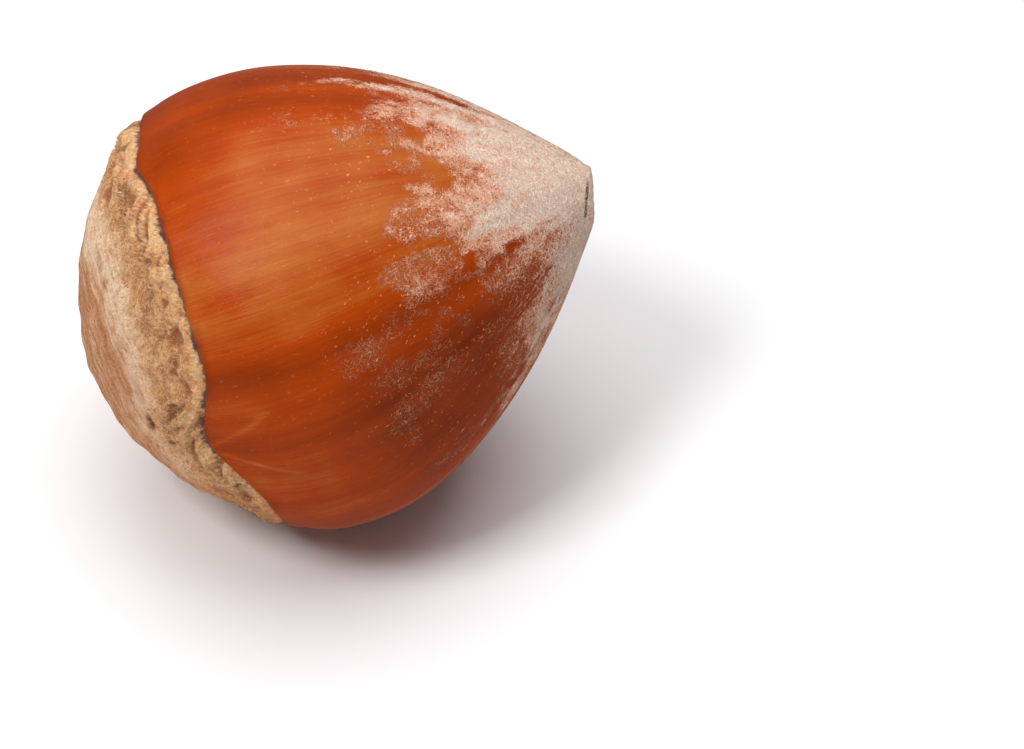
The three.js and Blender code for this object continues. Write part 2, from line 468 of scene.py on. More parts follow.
def make_outline():
    """The profile as closely spaced rows: distance, along, out and the outward normal."""
    there = [np.array([along * NUT_LENGTH, out * NUT_WIDTH / 2]) for along, out in OUTLINE]
    mirror = np.array([1, -1])
    points = [there[1] * mirror, *there, there[-2] * mirror]
    shares = np.linspace(0, 1, OUTLINE_STEPS, endpoint=False)[:, None]
    rows = []
    for before, start, end, after in zip(points, points[1:], points[2:], points[3:]):
        pairs = ((before, start), (start, end), (end, after))
        first, middle, last = (math.sqrt(np.linalg.norm(b - a)) for a, b in pairs)
        chord = (end - start) / middle
        leave = (start - before) / first - (end - before) / (first + middle) + chord
        reach = chord - (after - start) / (middle + last) + (after - end) / last
        leave, reach = leave * middle, reach * middle
        cubic = 2 * start - 2 * end + leave + reach
        square = 3 * end - 3 * start - 2 * leave - reach
        rows.append(start + leave * shares + square * shares**2 + cubic * shares**3)
    curve = np.vstack([*rows, there[-1]])
    steps = np.linalg.norm(np.diff(curve, axis=0), axis=1)
    distance = np.concatenate([[0], np.cumsum(steps)])
    way = np.gradient(curve, distance, axis=0)
    way /= np.linalg.norm(way, axis=1)[:, None]
    return distance, curve[:, 0], np.maximum(curve[:, 1], 0), -way[:, 1], way[:, 0]


OUTLINE_ROWS = make_outline()
SKIN_LENGTH = OUTLINE_ROWS[0][-1]
SKIN_NOISE = Lattice(SKIN_SEED)


def noises(place, rows):
    """Noises added up, from rows of height, shift and size."""
    return sum(height * SKIN_NOISE.at(place + shift, size) for height, shift, size in rows)


def outline_at(distance):
    """The profile at a distance from the base pole: along, out and the outward normal."""
    return [np.interp(distance, OUTLINE_ROWS[0], row) for row in OUTLINE_ROWS[1:]]


def skin_distance(along):
    """The distance from the base pole at a place along the axis."""
    return np.interp(along, OUTLINE_ROWS[1], OUTLINE_ROWS[0])


def edge_distance(angle):
    """The wavy edge between scar and shell, as a distance along the skin."""
    turn = np.degrees(angle) - SCAR_EDGE_HIGH_ANGLE
    along = SCAR_EDGE + SCAR_EDGE_TILT * np.cos(np.radians(turn))
    for centre, half_width, length in SHELL_TONGUES:
        along = along - length * near_angle(angle, (centre, half_width))
    return skin_distance(along)


def across(angle):
    """The direction away from the long axis at an angle round it."""
    angle = np.asarray(angle)[..., None]
    return UP_ACROSS * np.cos(angle) + SIDE_ACROSS * np.sin(angle)


TIP_CUT_NORMAL = LONG_AXIS * math.cos(TIP_CUT_LEAN) - across(WIDE_ANGLE) * math.sin(TIP_CUT_LEAN)
TIP_CUT_POINT = LONG_AXIS * TIP_CUT_ALONG - across(WIDE_ANGLE) * TIP_CUT_ASIDE


def place_on(along, out, angle):
    """The nut's own coordinates: along its axis, up and aside."""
    return np.stack([along, out * np.cos(angle), out * np.sin(angle)], axis=-1)


def main_relief(along, out, distance, angle, beside):
    """Height of the skin over its smooth outline, as in the nut's solid."""
    height = sum(rise * bell(beside - centre, width) for centre, width, rise in EDGE_RELIEF)
    swell = sum(np.sin(count * angle + shift) for count, shift in RIM_WAVES)
    rim = sum(rise * bell(beside - centre, width) for centre, width, rise in RIM_RELIEF)
    height = height + rim * smoothstep(swell, RIM_GONE, RIM_FULL)
    lumps = 0
    for rise, up, up_shift, aside, forward, shift in LUMP_WAVES:
        upward = np.sin(up * out * np.cos(angle) + up_shift)
        onward = np.sin(aside * out * np.sin(angle) + forward * along + shift)
        lumps = lumps + rise * upward * onward
    height = height + lumps * smoothstep(-beside, *SCAR_START)
    ribs = sum(rise * np.cos(count * angle + shift) for count, shift, rise in RIB_WAVES)
    shell = smoothstep(beside, *RIB_START) * smoothstep(SKIN_LENGTH - distance, *RIB_END)
    return height + ribs * shell


def scar_pits():
    """The listed pits and hollows, and more of their kind on the hidden sides."""
    random = np.random.default_rng(PIT_SEED)
    pits, hollows = list(SCAR_PITS), list(SCAR_HOLLOWS)
    for index in range(2 * MORE_PITS):
        angle = random.uniform(HIDDEN_FROM + 14, HIDDEN_TO + 30)
        edge = np.interp(edge_distance(np.radians(angle)), OUTLINE_ROWS[0], OUTLINE_ROWS[1])
        along = edge - 0.3 - 2.4 * random.random() ** 1.7
        if index % 2:
            pits.append((angle, along, random.uniform(0.1, 0.2), random.uniform(0.08, 0.18)))
        else:
            hollows.append((angle, along, random.uniform(0.17, 0.36), random.uniform(0.06, 0.16)))
    return pits, hollows


PITS_ROUND, HOLLOWS_ROUND = scar_pits()


def hollowed(place, rows):
    """How deep these pits or hollows reach at a place, and their share of colour."""
    depth = np.zeros(place.shape[:-1])
    share = np.zeros(place.shape[:-1])
    shifts = (0, 13, 21)
    torn = [SKIN_NOISE.at(place + shift, HOLLOW_TEAR_SIZE) for shift in shifts]
    place = place + HOLLOW_TEAR * np.stack(torn, axis=-1)
    for degrees, along, width, deep in rows:
        turn = np.radians(degrees)
        _, out, _, _ = outline_at(skin_distance(along))
        away = place - place_on(np.array(along), out, turn)
        aside = away @ np.array([0, -np.sin(turn), np.cos(turn)])
        slant = (away[..., 0] - aside) ** 2 / 2
        apart = np.sqrt(np.maximum((away**2).sum(axis=-1) - HOLLOW_STRETCH * slant, 0))
        shape = bell(apart, width)
        depth = np.maximum(depth, deep * shape)
        share = np.maximum(share, shape)
    return depth, share


def scar_plainness(angle):
    """Where the scar is smooth: 1 there, and 0 where it is crumpled."""
    return near_angle(angle, SCAR_PLAIN)


def lines_along(angle, distance, closeness, length):
    """Where a place lies in noise that is drawn out along the nut."""
    return np.stack(
        [closeness * np.cos(angle), closeness * np.sin(angle), distance / length], axis=-1
    )


def scar_folds(place, angle, distance, beside):
    """Crumpled folds beside the scar's edge: 1 on a crest, below 0 between."""
    bent = angle + 0.06 * SKIN_NOISE.at(place, 1.3) + FOLD_TURN * beside
    folds = lines_along(bent, distance, FOLDS_ROUND, FOLD_LENGTH)
    ridge = 1 - np.abs(SKIN_NOISE.at(folds, 0.5)) * 2.4
    patch = 0.4 + 0.6 * smoothstep(SKIN_NOISE.at(place + 11, 2.6), -0.3, 0.3)
    near_edge = bell(beside + FOLD_FROM_EDGE, FOLD_FROM_EDGE)
    return ridge * patch * near_edge * (1 - scar_plainness(angle))


def fine_relief(place, angle, distance, beside):
    """Small bumps, folds and pits that come on top of the solid's own relief."""
    on_scar = smoothstep(-beside, 0.02, 0.25)
    rough = smoothstep(-beside, 3.6, 1.2)
    bumps = noises(place, SCAR_BUMPS) * (0.5 + 0.6 * rough)
    grain = noises(place, [SCAR_GRAIN]) * (0.2 + 0.8 * rough)
    scar = (bumps + grain) * (1 - 0.75 * scar_plainness(angle))
    flush = FLUSH_HEIGHT * near_angle(angle, FLUSH)
    scar = scar + flush * smoothstep(-beside, 3.4, 0.6)
    scar = scar + FOLD_HEIGHT * scar_folds(place, angle, distance, beside)
    scar = scar - hollowed(place, PITS_ROUND)[0] - hollowed(place, HOLLOWS_ROUND)[0]
    line_height, closeness, length = SHELL_LINES
    lines = lines_along(angle, distance, closeness, length)
    swell_height, swell_size = SHELL_SWELL
    shell = line_height * SKIN_NOISE.at(lines, 1) + swell_height * SKIN_NOISE.at(place, swell_size)
    lip_height, lip_place, lip_width = FINE_LIP
    groove_depth, groove_place, groove_width = FINE_GROOVE
    lip = lip_height * bell(beside - lip_place, lip_width)
    lip = lip - groove_depth * bell(beside - groove_place, groove_width)
    lip = lip * (1 + 0.8 * SKIN_NOISE.at(place + 5, 0.6))
    return scar * on_scar + shell * (1 - on_scar) + lip


def tip_crack(cut, angle, place):
    """Distance from the crack that runs round the tip."""
    far = 1 - np.cos(angle - TIP_CRACK_NEAR_ANGLE)
    wobble = 0.05 * SKIN_NOISE.at(place + 8, 0.45)
    return cut + TIP_CRACK_BEFORE + TIP_CRACK_TILT * far + wobble


def tip_crack_share(angle, place):
    """How open that crack is: it shows in some places and is closed in others."""
    share = sum(part * near_angle(angle, (c, w)) for c, w, part in TIP_CRACK_OPEN)
    return np.clip(share * (1.1 + 0.5 * SKIN_NOISE.at(place + 17, 0.3)), 0, 1)


def skin(distance, angle, fineness=1.0):
    """Points of the skin with the base pole at the origin, and what is known at each."""
    along, out, normal_along, normal_out = outline_at(distance)
    place = place_on(along, out, angle)
    beside_main = distance - edge_distance(angle)
    beside = beside_main + noises(place, EDGE_WOBBLE) * fineness
    rise = main_relief(along, out, distance, angle, beside_main)
    rise = rise + fineness * fine_relief(place, angle, distance, beside)
    flatness = (1 - NUT_DEPTH_SHARE) / 2
    squeeze = 1 - flatness * (1 - np.cos(2 * (angle - WIDE_ANGLE)))
    lean = sum(shift * bell(along - centre, width) for centre, width, shift in LEANS)
    outward = across(angle)
    points = (
        LONG_AXIS * (along + normal_along * rise)[..., None]
        + outward * (out * squeeze + normal_out * rise)[..., None]
        + across(WIDE_ANGLE) * (lean * out * 2 / NUT_WIDTH)[..., None]
    )
    past = (points - TIP_CUT_POINT) @ TIP_CUT_NORMAL
    cut = np.maximum(past, 0)
    lumpy = TIP_CUT_LUMPS * SKIN_NOISE.at(place * 2, 0.7) * smoothstep(cut, 0, 0.15)
    points = points - TIP_CUT_NORMAL * (cut * TIP_CUT_KEEP - lumpy * fineness)[..., None]
    normals = LONG_AXIS * normal_along[..., None] + outward * normal_out[..., None]
    crack = tip_crack(past, angle, place)
    ring = bell(crack, TIP_CRACK_WIDTH) * tip_crack_share(angle, place)
    points = points - normals * (TIP_CRACK_DEPTH * ring)[..., None]
    known = {"along": along, "beside": beside, "place": place, "cut": past, "ring": ring}
    return points, normals, known


def tip_known(distance, angle):
    """How far a place lies past the cut face, and how deep in the crack round the tip."""
    _, _, known = skin(distance, angle)
    return known["cut"], known["ring"]


def row_distances(edge):
    """Distance of each row of points along the skin, for the edge at each angle."""
    scar = 1 - (1 - np.arange(SCAR_STEPS + 1) / SCAR_STEPS) ** SCAR_CROWDING
    shell = (np.arange(1, SHELL_STEPS + 1) / SHELL_STEPS) ** SHELL_CROWDING
    shell = 1 - (1 - shell) ** TIP_CROWDING
    return np.vstack([scar[:, None] * edge, edge + (SKIN_LENGTH - edge) * shell[:, None]])


def settle_shift(points):
    """What moves the skin's points to where the nut's solid lies."""
    low, high = points.min(axis=0), points.max(axis=0)
    middle = (np.array(NUT_LOW) + np.array(NUT_HIGH)) / 2 / MM
    shift = middle - (low + high) / 2
    shift[2] = NUT_HIGH.z / MM - high[2]
    return shift


def patches(distance_along, degrees, rows):
    """The patches' shares at a place, added up."""
    total = 0
    for angle, half_width, along, half_length, share in rows:
        turn = turn_between(degrees, angle) / half_width
        reach = (distance_along - along) / half_length
        total = total + share * np.exp(-(turn**4) - reach**4)
    return total


def hidden_patches():
    """Reaches and patches like the listed ones, for the hidden sides."""
    random = np.random.default_rng(PATCH_SEED)
    reaches, down, bare = [], [], []
    for angle in np.arange(HIDDEN_FROM + 4, HIDDEN_TO, 8.5):
        turn = angle + random.uniform(-3, 3)
        reaches.append((turn, random.uniform(3, 7), random.uniform(-1.2, 1.8)))
        share = random.uniform(0.1, 0.35)
        down.append((turn + 4, random.uniform(2, 5), random.uniform(11, 15), 1.3, share))
        place = random.uniform(15.8, 18.6)
        bare.append((turn + 3, random.uniform(2, 5), place, random.uniform(0.2, 0.6), 0.5))
    return reaches, down, bare


HIDDEN_REACHES, HIDDEN_DOWN, HIDDEN_BARE = hidden_patches()


def down_dullness(angle):
    """How sparse, even and brown the down is at an angle, from 0 to 1; the browning is partly
    painted shadow.
    """
    return near_angle(angle, DOWN_DULL)


def down_cover(along, angle, place):
    """How thickly the down lies: bare shell below 0, a closed felt from 1 on."""
    degrees = np.degrees(angle) + 2 * SKIN_NOISE.at(place + 9, 1.1)
    shifted = along + 0.4 * SKIN_NOISE.at(place + 4, 0.8)
    reaches = DOWN_REACHES + HIDDEN_REACHES
    reach = sum(length * bell(turn_between(degrees, c), w) for c, w, length in reaches)
    cover = DOWN_CLOSED * smoothstep(shifted + reach, *DOWN_START)
    cover = cover + patches(shifted, degrees, DOWN_PATCHES + HIDDEN_DOWN)
    bare = patches(shifted, degrees, BARE_PATCHES + HIDDEN_BARE)
    cover = np.minimum(cover, DOWN_CLOSED) - bare * (1 - smoothstep(along, 18.8, 20.3))
    width, change = DOWN_STREAKS
    ragged = change * SKIN_NOISE.at(lines_along(angle, along, *STREAK_SHAPE), width)
    long_place = place * np.array([0.5, 1, 1])
    for size, change in DOWN_FLECKS:
        ragged = ragged + change * SKIN_NOISE.at(long_place + size, size)
    even = (1 - 0.6 * smoothstep(along, 17.5, 20)) * (1 - 0.55 * down_dullness(angle))
    return cover + ragged * smoothstep(cover, 0.02, 0.3) * even


def tip_stains(along, place):
    """Small spots near the tip where the down is worn and browner."""
    spots = smoothstep(SKIN_NOISE.at(place + 6, 0.26), 0.5, 0.72)
    return spots * smoothstep(along, 16.5, 18) * (0.5 + 0.5 * SKIN_NOISE.at(place, 2))


def write_attribute(mesh, name, values, kind="FLOAT"):
    """Writes one value or vector for each point, for the material to read."""
    attribute = mesh.attributes.new(name, kind, "POINT")
    key = "vector" if kind == "FLOAT_VECTOR" else "value"
    attribute.data.foreach_set(key, np.ascontiguousarray(values, np.float32).ravel())


def make_mesh(name, points, faces, face_size):
    """A mesh of faces with the same number of corners, from points in millimetres."""
    mesh = bpy.data.meshes.new(name)
    mesh.vertices.add(len(points))
    mesh.vertices.foreach_set("co", (points * MM).astype(np.float32).ravel())
    mesh.loops.add(faces.size)
    mesh.loops.foreach_set("vertex_index", faces.astype(np.int32).ravel())
    mesh.polygons.add(len(faces))
    starts = np.arange(len(faces), dtype=np.int32) * face_size
    mesh.polygons.foreach_set("loop_start", starts)
    mesh.polygons.foreach_set("use_smooth", np.ones(len(faces), bool))
    mesh.update(calc_edges=True)
    return mesh


def write_uv(mesh, corners):
    """The map that a bake uses, with one place for each corner."""
    layer = mesh.uv_layers.new(name="OFBake")
    layer.uv.foreach_set("vector", corners.astype(np.float32).ravel())


def add_piece(context, name, mesh, material):
    """A piece of the nut in the scene, on its body and in its slot."""
    piece = bpy.data.objects.new(name, mesh)
    context.scene.collection.objects.link(piece)
    mesh.materials.append(material)
    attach(piece, BODY)
    return piece


class Wire:
    """A value in a material's nodes, on which arithmetic adds Math nodes."""

    def __init__(self, sheet, socket):
        self.sheet = sheet
        self.socket = socket

    def __add__(self, other):
        return self.sheet.math("ADD", self, other)

    def __sub__(self, other):
        return self.sheet.math("SUBTRACT", self, other)

    def __rsub__(self, other):
        return self.sheet.math("SUBTRACT", other, self)

    def __mul__(self, other):
        return self.sheet.math("MULTIPLY", self, other)

    __radd__ = __add__
    __rmul__ = __mul__


class Sheet:
    """The nodes of one material."""

    def __init__(self, name):
        self.material = bpy.data.materials.new(name)
        self.material.use_nodes = True
        self.nodes = self.material.node_tree.nodes
        self.links = self.material.node_tree.links
        self.nodes.clear()

    def node(self, kind, settings=None, inputs=None):
        """Adds a node, makes its settings, then sets or links its sockets."""
        node = self.nodes.new(kind)
        for key, value in (settings or {}).items():
            if key == "stops":
                self.set_stops(node.color_ramp, value)
            else:
                setattr(node, key, value)
        for key, value in (inputs or {}).items():
            if isinstance(value, Wire):
                self.links.new(value.socket, node.inputs[key])
            else:
                node.inputs[key].default_value = value
        return node

    def set_stops(self, ramp, stops):
        """Puts the stops on a new ramp, which has two to begin with."""
        while len(ramp.elements) < len(stops):
            ramp.elements.new(0.5)
        for element, (place, colour) in zip(ramp.elements, stops):
            element.position = place
            element.color = (*colour, 1)

    def wire(self, node, output=0):
        return Wire(self, node.outputs[output])

    def math(self, operation, *values, clamp=False):
        settings = {"operation": operation, "use_clamp": clamp}
        return self.wire(self.node("ShaderNodeMath", settings, dict(enumerate(values))))

    def clamp(self, value):
        return self.math("ADD", value, 0, clamp=True)

    def step(self, value, low, high):
        """Rises smoothly from 0 to 1 as value goes from low to high."""
        settings = {"interpolation_type": "SMOOTHSTEP"}
        inputs = {"Value": value, "From Min": low, "From Max": high}
        return self.wire(self.node("ShaderNodeMapRange", settings, inputs))

    def attribute(self, name, output="Fac"):
        return self.wire(self.node("ShaderNodeAttribute", {"attribute_name": name}), output)

    def stretch(self, place, factors):
        settings = {"operation": "MULTIPLY"}
        return self.wire(self.node("ShaderNodeVectorMath", settings, {0: place, 1: factors}))

    def noise(self, place, scale, detail=3.0, roughness=0.55, distortion=0.0):
        inputs = {
            "Vector": place,
            "Scale": scale,
            "Detail": detail,
            "Roughness": roughness,
            "Distortion": distortion,
        }
        return self.wire(self.node("ShaderNodeTexNoise", {}, inputs))

    def mix(self, share, first, second, blend="MIX"):
        settings = {"data_type": "RGBA", "blend_type": blend}
        first = first if isinstance(first, Wire) else (*first, 1)
        second = second if isinstance(second, Wire) else (*second, 1)
        node = self.node("ShaderNodeMix", settings, {0: share, 6: first, 7: second})
        return self.wire(node, 2)

    def ramp(self, value, stops):
        return self.wire(self.node("ShaderNodeValToRGB", {"stops": stops}, {0: value}))

    def bump(self, height, depth):
        inputs = {"Strength": 1.0, "Distance": depth, "Height": height}
        return self.wire(self.node("ShaderNodeBump", {}, inputs))

    def finish(self, inputs):
        """Ends the material in one Principled shader."""
        shader = self.node("ShaderNodeBsdfPrincipled", {}, inputs)
        self.node("ShaderNodeOutputMaterial", {}, {0: self.wire(shader)})
        return self.material


def shell_colour(sheet, looks, round_place, place):
    """Lengthwise streaks and pale specks of the bare shell."""
    # the tone holds the shell's bands and darker parts, with painted sheen and a painted shadow
    # among them
    tone = sheet.attribute("tone")
    specked = sheet.attribute("specked")
    broad = sheet.noise(sheet.stretch(round_place, (5, 5, 0.05)), 1, 2)
    middle = sheet.noise(sheet.stretch(round_place, (15, 15, 0.09)), 1, 3)
    narrow = sheet.noise(sheet.stretch(round_place, (46, 46, 0.2)), 1, 3, 0.65)
    finest = sheet.noise(sheet.stretch(round_place, (120, 120, 0.6)), 1, 2)
    streaks = broad * 0.6 + middle * 0.3 + narrow * 0.3 + finest * 0.25 - 0.725
    cloud = sheet.noise(place, 0.35, 3)
    value = sheet.clamp(0.5 + tone * 0.6 + streaks * 0.6 + (cloud - 0.5) * 0.4)
    stops = [(0.08, looks.dark), (0.5, looks.middle), (0.92, looks.light)]
    colour = sheet.ramp(value, stops)
    speck = sheet.noise(sheet.stretch(place, (0.55, 1, 1)), 7, 2, 0.55)
    speck = sheet.step(speck, 0.64, 0.74) * specked
    colour = sheet.mix(speck, colour, SPECK_COLOUR)
    return colour, streaks


def scar_colour(sheet, looks, place, round_place, beside, wrinkle):
    """Flecked, fibrous tan of the scar, with a paler band and a browner dome, painted light on its
    fold crests and painted shade between the folds, in the hollows and in the pits.
    """
    coarse = sheet.noise(place, 1.1, 4, 0.6)
    flecks = sheet.noise(place, 3.4, 5, 0.7, 0.6)
    fine = sheet.noise(place, 8, 3, 0.75, 0.4)
    around = sheet.noise(sheet.stretch(round_place, (2.4, 2.4, 3.4)), 1, 5, 0.65, 0.5)
    rough = sheet.step(beside, -4.6, -2.8)
    depth = coarse * 0.6 + flecks * 0.4 + wrinkle * 0.75 + around * 0.2 + fine * 0.55 - 0.76
    stops = [(0.12, looks.scar_dark), (0.45, looks.scar), (0.82, looks.scar_pale)]
    tan = sheet.ramp(sheet.clamp(depth), stops)
    dome = sheet.clamp(coarse * 0.3 + around * 1.3 + fine * 0.25 - 0.42)
    smooth = sheet.ramp(dome, DOME_SHADES)
    colour = sheet.mix(rough * 0.9 + 0.1, smooth, tan)
    band = sheet.step(beside, -5.2, -4.3) * (1 - sheet.step(beside, -3.3, -2.3))
    pale = band * sheet.step(coarse * 0.5 + around * 0.5, 0.36, 0.56) * sheet.attribute("pale")
    colour = sheet.mix(pale, colour, SCAR_BAND_COLOUR)
    red_zone = sheet.step(beside, -3.4, -2.2) * (1 - sheet.step(beside, -0.9, -0.4))
    red = sheet.step(sheet.noise(place, 1.5, 5, 0.7, 0.6), 0.42, 0.6) * red_zone * 0.6
    colour = sheet.mix(red, colour, SCAR_RED_COLOUR)
    colour = sheet.mix(sheet.attribute("tint") * 0.55, colour, SCAR_ORANGE_COLOUR)

    fold = sheet.attribute("fold") + (flecks - 0.5) * 0.5
    # painted highlight on the fold crests, painted shade in the valleys between them
    colour = sheet.mix(sheet.step(fold, 0.15, 0.8) * 0.4, colour, FOLD_CREST_PAINTED_LIGHT)
    colour = sheet.mix(sheet.step(fold, -0.02, -0.45) * 0.62, colour, FOLD_DEPTH_PAINTED_SHADE)
    grain = sheet.ramp(fine, SCAR_GRAIN_SHADES)
    colour = sheet.mix(0.6, colour, grain, "MULTIPLY")
    # the hollows' redder, darker ground, partly painted shade
    hollow = sheet.step(sheet.attribute("hollow") + (flecks - 0.5) * 0.5, 0.25, 0.8)
    colour = sheet.mix(hollow * 0.75, colour, HOLLOW_GROUND_AND_SHADE)
    # painted shade: the pits are darkened
    pit = sheet.step(sheet.attribute("pit") + (flecks - 0.5) * 0.3, 0.3, 0.9)
    return sheet.mix(pit * 0.8, colour, PIT_PAINTED_SHADE)


def skin_material(looks):
    """The shell, the scar, the felt and the tip in one material."""
    sheet = Sheet("hazelnut_skin")
    place = sheet.attribute("place", "Vector")
    round_place = sheet.attribute("round", "Vector")
    beside = sheet.attribute("beside")
    colour, streaks = shell_colour(sheet, looks, round_place, place)

    cover = sheet.attribute("cover")
    flecks = sheet.noise(place, 4.2, 3, 0.7)
    powder = sheet.noise(place, 11, 2, 0.7, 0.6)
    ragged = (flecks - 0.5) * 1.5 + (powder - 0.5) * 2.5
    thick = cover + ragged * sheet.step(cover, 0.02, 0.5)
    dust = sheet.step(thick, 0.12, 0.85)
    felt = sheet.step(thick, 0.6, 1.5)
    loose_shade = sheet.ramp(powder, LOOSE_DOWN_SHADES)
    matted_shade = sheet.ramp(powder, MATTED_DOWN_SHADES)
    felt_shade = sheet.mix(sheet.step(cover, 0.9, 1.3), loose_shade, matted_shade)
    felt_shade = sheet.mix(sheet.attribute("stain") * 0.8, felt_shade, STAIN_COLOUR)
    # browner powder where the down is dull, partly painted shadow
    powdery = sheet.mix(sheet.attribute("dull"), POWDER_COLOUR, DULL_POWDER_AND_SHADOW_COLOUR)
    colour = sheet.mix(dust * 0.8, colour, powdery)
    colour = sheet.mix(felt, colour, felt_shade)

    face_grain = sheet.noise(place, 3.6, 5, 0.75, 0.4)
    face = sheet.ramp(face_grain, TIP_FACE_SHADES)
    on_face = sheet.step(sheet.attribute("cut") + (flecks - 0.5) * 0.5, -0.1, 0.2)
    colour = sheet.mix(on_face, colour, face)
    ring = sheet.step(sheet.attribute("ring") + (flecks - 0.5) * 0.8, 0.3, 0.7)
    colour = sheet.mix(ring * 0.9, colour, TIP_CRACK_COLOUR)

    wrinkle = sheet.noise(sheet.stretch(round_place, (12, 12, 1.1)), 1, 4, 0.7, 1.4)
    scar = scar_colour(sheet, looks, place, round_place, beside, wrinkle)
    coarse = sheet.noise(place, 0.8, 4, 0.6)
    ragged = (sheet.noise(place, 6, 3, 0.7) - 0.5) * 0.22
    off_edge = beside + ragged
    on_scar = 1 - sheet.step(off_edge, -0.07, 0.0)
    edge_shade = (1 - sheet.step(off_edge, 0.02, 0.5)) * sheet.step(coarse, 0.34, 0.6)
    colour = sheet.mix(edge_shade * 0.55, colour, EDGE_SHADE_COLOUR)
    colour = sheet.mix(on_scar, colour, scar)
    uneven = sheet.step(sheet.noise(place, 1.1, 4, 0.7), 0.36, 0.66)
    inner = off_edge + 0.1 + uneven * 0.12
    crack = sheet.step(inner, -0.06, 0.06) * (1 - sheet.step(off_edge, -0.03, 0.06))
    crack = crack * (0.7 + 0.3 * uneven)
    colour = sheet.mix(sheet.clamp(crack), colour, looks.crack)

    rough_shell = looks.roughness + (flecks - 0.5) * 0.1 + streaks * 0.05
    matt = sheet.math("MAXIMUM", dust, on_scar)
    roughness = rough_shell + (MATT_ROUGHNESS - rough_shell) * matt

    lines = sheet.noise(sheet.stretch(round_place, (90, 90, 0.4)), 1, 4, 0.7)
    pores = sheet.noise(place, 7, 4, 0.7)
    shell_height = lines * 0.4 + pores * 0.35
    scar_height = sheet.noise(place, 7, 4, 0.8, 0.5) * 3 + wrinkle * 4
    felt_height = powder * 0.9 + flecks * 0.6
    height = shell_height * (1 - on_scar) * (1 - felt) + scar_height * on_scar
    height = height + felt_height * dust + face_grain * on_face * 3
    normal = sheet.bump(height, FINE_BUMP_DEPTH * looks.relief)
    return sheet.finish({
        "Base Color": colour,
        "Roughness": roughness,
        "Normal": normal,
        "Specular IOR Level": SHELL_SPECULAR,
    })


def fur_material(name, stops):
    """Hairs or fibres, coloured by each one's tone."""
    sheet = Sheet(name)
    tone = sheet.attribute("tone")
    colour = sheet.ramp(tone, stops)
    share = sheet.attribute("share")
    colour = sheet.mix((1 - share) * 0.35, colour, HAIR_SHADOW_COLOUR)
    return sheet.finish({"Base Color": colour, **HAIR_FINISH})


def mark_share(degrees, along, mark):
    """How near a place is to one of the faint lines, from 0 to 1."""
    start, from_along, end, to_along, width, _ = mark
    _, out, _, _ = outline_at(skin_distance(from_along))
    size = out * math.radians(1)
    way = np.array([(end - start) * size, to_along - from_along])
    length = np.linalg.norm(way)
    away = np.stack([turn_between(degrees, start) * size, along - from_along], axis=-1)
    share = np.clip(away @ way / length**2, 0, 1)
    return bell(np.linalg.norm(away - share[..., None] * way, axis=-1), width) * (1 - 0.5 * share)


def shell_tone(degrees, along):
    """Lengthwise bands, partly painted sheen, darker parts, partly a painted shadow, and faint
    lines of the shell's colour.
    """
    # lengthwise bands, the lighter ones partly painted sheen
    tone = sum(rise * bell(turn_between(degrees, c), w) for c, w, rise in SHELL_BANDS_AND_SHEEN)
    random = np.random.default_rng(PATCH_SEED)
    for angle in np.arange(HIDDEN_FROM + 22, HIDDEN_TO + 8, 11):
        turn = angle + random.uniform(-4, 4)
        rise = random.uniform(-0.35, 0.3)
        tone = tone + rise * bell(turn_between(degrees, turn), random.uniform(3, 9))
    # darker parts, the largest partly a painted shadow
    tone = tone - patches(along, degrees, SHELL_DARK_PATCHES_AND_SHADOW)
    return tone + sum(mark[-1] * mark_share(degrees, along, mark) for mark in SHELL_MARKS)


def grid_faces(rings, steps):
    """Faces of rings of points round the axis, with a fan at each pole, as triangles."""
    step = np.arange(steps)
    after = (step + 1) % steps
    last_ring = 1 + (rings - 1) * steps
    tip = 1 + rings * steps
    base_fan = np.stack([np.zeros(steps, int), 1 + after, 1 + step], axis=1)
    tip_fan = np.stack([np.full(steps, tip), last_ring + step, last_ring + after], axis=1)
    ring_starts = 1 + np.arange(rings - 1)[:, None] * steps
    low = (ring_starts + step).ravel()
    low_after = (ring_starts + after).ravel()
    one = np.stack([low, low_after + steps, low + steps], axis=1)
    two = np.stack([low, low_after, low_after + steps], axis=1)
    return np.vstack([base_fan, tip_fan, one, two])


def skin_uv(faces, distance, angle):
    """Two half turns, one above the other, so that the map isn't squeezed lengthwise."""
    turn = (angle / TAU)[faces]
    turn = np.where(turn.max(axis=1, keepdims=True) - turn > 0.5, turn + 1, turn)
    pole = distance[faces] == distance.min()
    pole |= distance[faces] == distance.max()
    others = np.where(pole, np.nan, turn)
    turn = np.where(pole, np.nanmean(others, axis=1, keepdims=True), turn)
    upper = turn.mean(axis=1, keepdims=True) > 0.5
    across_share = np.clip(2 * (turn - 0.5 * upper), 0, 1) * 0.98 + 0.01
    up_share = (distance[faces] / SKIN_LENGTH) * 0.48 + 0.01 + 0.5 * upper
    return np.stack([across_share, up_share], axis=-1)


def skin_values(known, distance, angle):
    """What the skin's material reads at each point, by name."""
    beside, along, place = known["beside"], known["along"], known["place"]
    low_dome = near_angle(angle, LOW_DOME) * smoothstep(beside, -2.2, -3.4)
    return {
        "beside": beside,
        "cut": known["cut"],
        "ring": known["ring"],
        "pit": hollowed(place, PITS_ROUND)[1],
        "hollow": hollowed(place, HOLLOWS_ROUND)[1],
        "fold": scar_folds(place, angle, distance, beside),
        "tint": np.maximum(near_angle(angle, SCAR_TINT), LOW_DOME_TINT * low_dome),
        "pale": 0.45 + 0.45 * near_angle(angle, PALE_BAND),
        "cover": down_cover(along, angle, place),
        "specked": 0.15 + 0.6 * smoothstep(along, 9, 14),
        "stain": tip_stains(along, place),
        "dull": down_dullness(angle),
        "tone": shell_tone(np.degrees(angle), along),
    }


